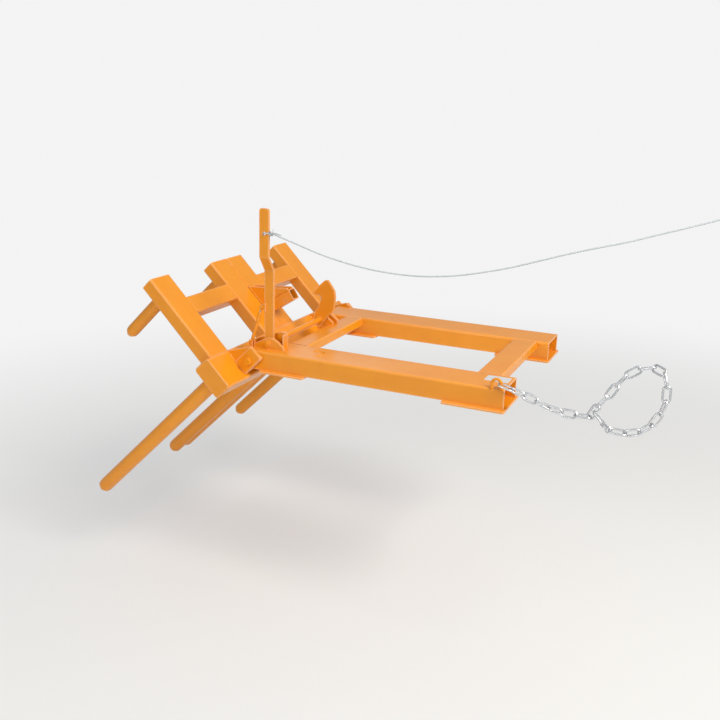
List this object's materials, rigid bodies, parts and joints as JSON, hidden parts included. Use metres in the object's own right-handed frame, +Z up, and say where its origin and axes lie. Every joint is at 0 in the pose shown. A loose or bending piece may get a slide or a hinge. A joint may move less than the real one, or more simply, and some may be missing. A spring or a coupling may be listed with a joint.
{
  "type": "forklift drum turner",
  "caption": "Fork-pocket frame with a tilting drum holder of round prongs at its front, a hand-lever latch, a release rope and a safety chain",
  "frame": {"origin": "midway between the two fork pockets' rear mouths, at the underside of their top plates, where the forks bear", "axes": "+X to the driver's right, +Y forward along the forks to the drum holder, +Z up"},
  "size_m": [1.15, 2.3546, 1.3188],
  "materials": {
    "orange_paint": "satin orange powder coat",
    "bare_steel": "bright turned steel",
    "zinc_plate": "zinc plated",
    "grey_rope": "braided grey rope"
  },
  "bodies": {
    "fork_frame": {"fork_pocket_left": "orange_paint", "fork_pocket_right": "orange_paint", "retainer_rear_left": "orange_paint", "retainer_rear_right": "orange_paint", "retainer_front_left": "orange_paint", "retainer_front_right": "orange_paint", "cross_member_rear": "orange_paint", "cross_member_front": "orange_paint", "bearing_outer": "orange_paint", "bearing_inner": "orange_paint", "bearing_middle": "orange_paint", "bearing_end": "orange_paint", "lever_stop": "orange_paint", "chain_eye": "orange_paint", "strut_clevis": "orange_paint", "strut_base_pin": "zinc_plate", "chain": "zinc_plate", "snap_hook": "zinc_plate", "snap_rivet": "bare_steel"},
    "drum_holder": {"lower_beam": "orange_paint", "beam_cap_left": "orange_paint", "beam_cap_right": "orange_paint", "upright_outer_left": "orange_paint", "upright_inner_left": "orange_paint", "upright_inner_right": "orange_paint", "upright_outer_right": "orange_paint", "crossbar_left": "orange_paint", "crossbar_right": "orange_paint", "prong_lower_outer_left": "orange_paint", "prong_lower_inner_left": "orange_paint", "prong_lower_inner_right": "orange_paint", "prong_lower_outer_right": "orange_paint", "prong_upper_outer_left": "orange_paint", "prong_upper_inner_left": "orange_paint", "prong_upper_inner_right": "orange_paint", "prong_upper_outer_right": "orange_paint", "lug_outer_left": "orange_paint", "lug_inner_left": "orange_paint", "lug_inner_right": "orange_paint", "lug_outer_right": "orange_paint", "pivot_pin_left": "orange_paint", "pivot_pin_right": "orange_paint", "catch_tube": "orange_paint", "gusset_left": "orange_paint", "gusset_right": "orange_paint", "catch_pin": "bare_steel"},
    "latch": {"latch_shaft": "orange_paint", "shaft_collar": "orange_paint", "latch_lever": "orange_paint", "lever_ear": "orange_paint", "latch_hook": "orange_paint", "strut_top_pin": "zinc_plate", "rope": "grey_rope"},
    "strut_body": {"strut_barrel": "orange_paint"},
    "strut_piston": {"strut_rod": "zinc_plate"},
    "gate": {"snap_gate": "zinc_plate"}
  },
  "joints": [
    {"name": "holder_tilt", "type": "hinge", "parent": "fork_frame", "child": "drum_holder", "pos_m": [0, 1.021, -0.0356], "axis": [1, 0, 0], "range_deg": [-45.69, 44.31]},
    {"name": "latch_turn", "type": "hinge", "parent": "fork_frame", "child": "latch", "pos_m": [0, 0.966, 0.028], "axis": [1, 0, 0], "range_deg": [-6.5, 22], "stiffness_Nm_per_rad": 40},
    {"name": "strut_swing", "type": "hinge", "parent": "fork_frame", "child": "strut_body", "pos_m": [-0.384, 1.038, 0.03], "axis": [1, 0, 0], "range_deg": [-5.6, 18.4]},
    {"name": "strut_stroke", "type": "slide", "parent": "strut_body", "child": "strut_piston", "axis": [0, -0.302, 0.9533], "range_m": [-0.0079, 0.0258]},
    {"name": "snap_gate_swing", "type": "hinge", "parent": "fork_frame", "child": "gate", "pos_m": [-0.439, -0.33803, -0.05345], "axis": [0, -0.7218, 0.6921], "range_deg": [-20, 0], "stiffness_Nm_per_rad": 0.05, "springref_deg": 17.19}
  ],
  "couplings": [
    {"joint": "strut_swing", "follows": "latch_turn", "ratio": 0.82},
    {"joint": "strut_stroke", "follows": "latch_turn", "m_per_rad": 0.066}
  ]
}
